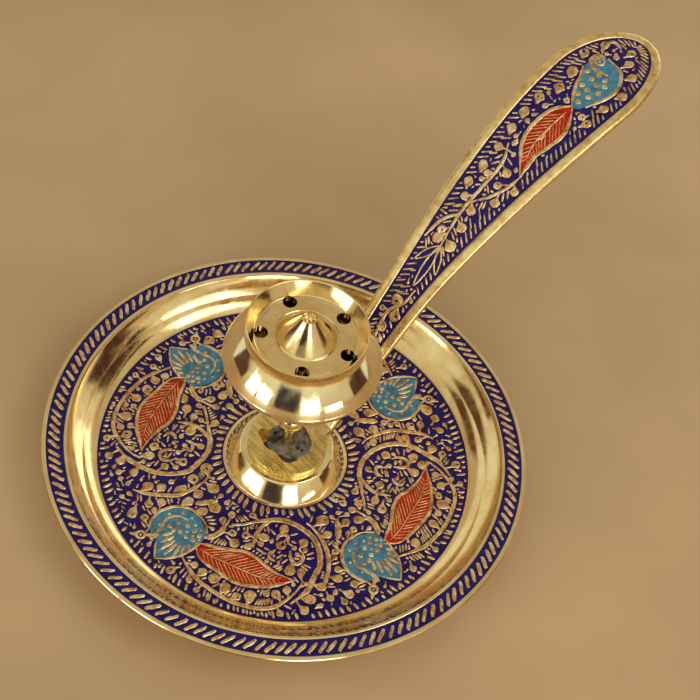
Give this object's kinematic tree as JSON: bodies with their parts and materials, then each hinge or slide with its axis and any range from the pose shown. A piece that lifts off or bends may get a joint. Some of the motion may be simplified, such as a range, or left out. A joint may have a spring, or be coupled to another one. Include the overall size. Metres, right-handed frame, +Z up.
{
  "type": "incense stick stand",
  "caption": "Brass incense stick stand: round ash plate with enamel ornament, flared foot, raised bowl with stick holes in its cap, and a long arched carrying handle.",
  "frame": {"origin": "on the centre line of the plate, at the height of the surface that the foot ring rests on", "axes": "+Z up along the centre rod, +X along the handle towards its tip, the part being symmetric about the XZ plane but for the spacing of the stick holes"},
  "size_m": [0.1591, 0.11, 0.0766],
  "materials": {
    "polished_brass": "turned and polished to a mirror, light gold",
    "handle_brass": "filed and brushed, with light scratches and a brown edge",
    "rod_brass": "drawn rod, slightly tarnished",
    "solder": "dull grey soft solder with dark flux at its edge"
  },
  "bodies": {
    "root": {"plate": "polished_brass", "pedestal": "polished_brass", "handle": "handle_brass", "solder_joint": "solder", "centre_rod": "rod_brass", "neck": "polished_brass", "head_bowl": "polished_brass", "head_cap": "polished_brass", "washer": "rod_brass", "nut": "rod_brass"}
  },
  "joints": []
}
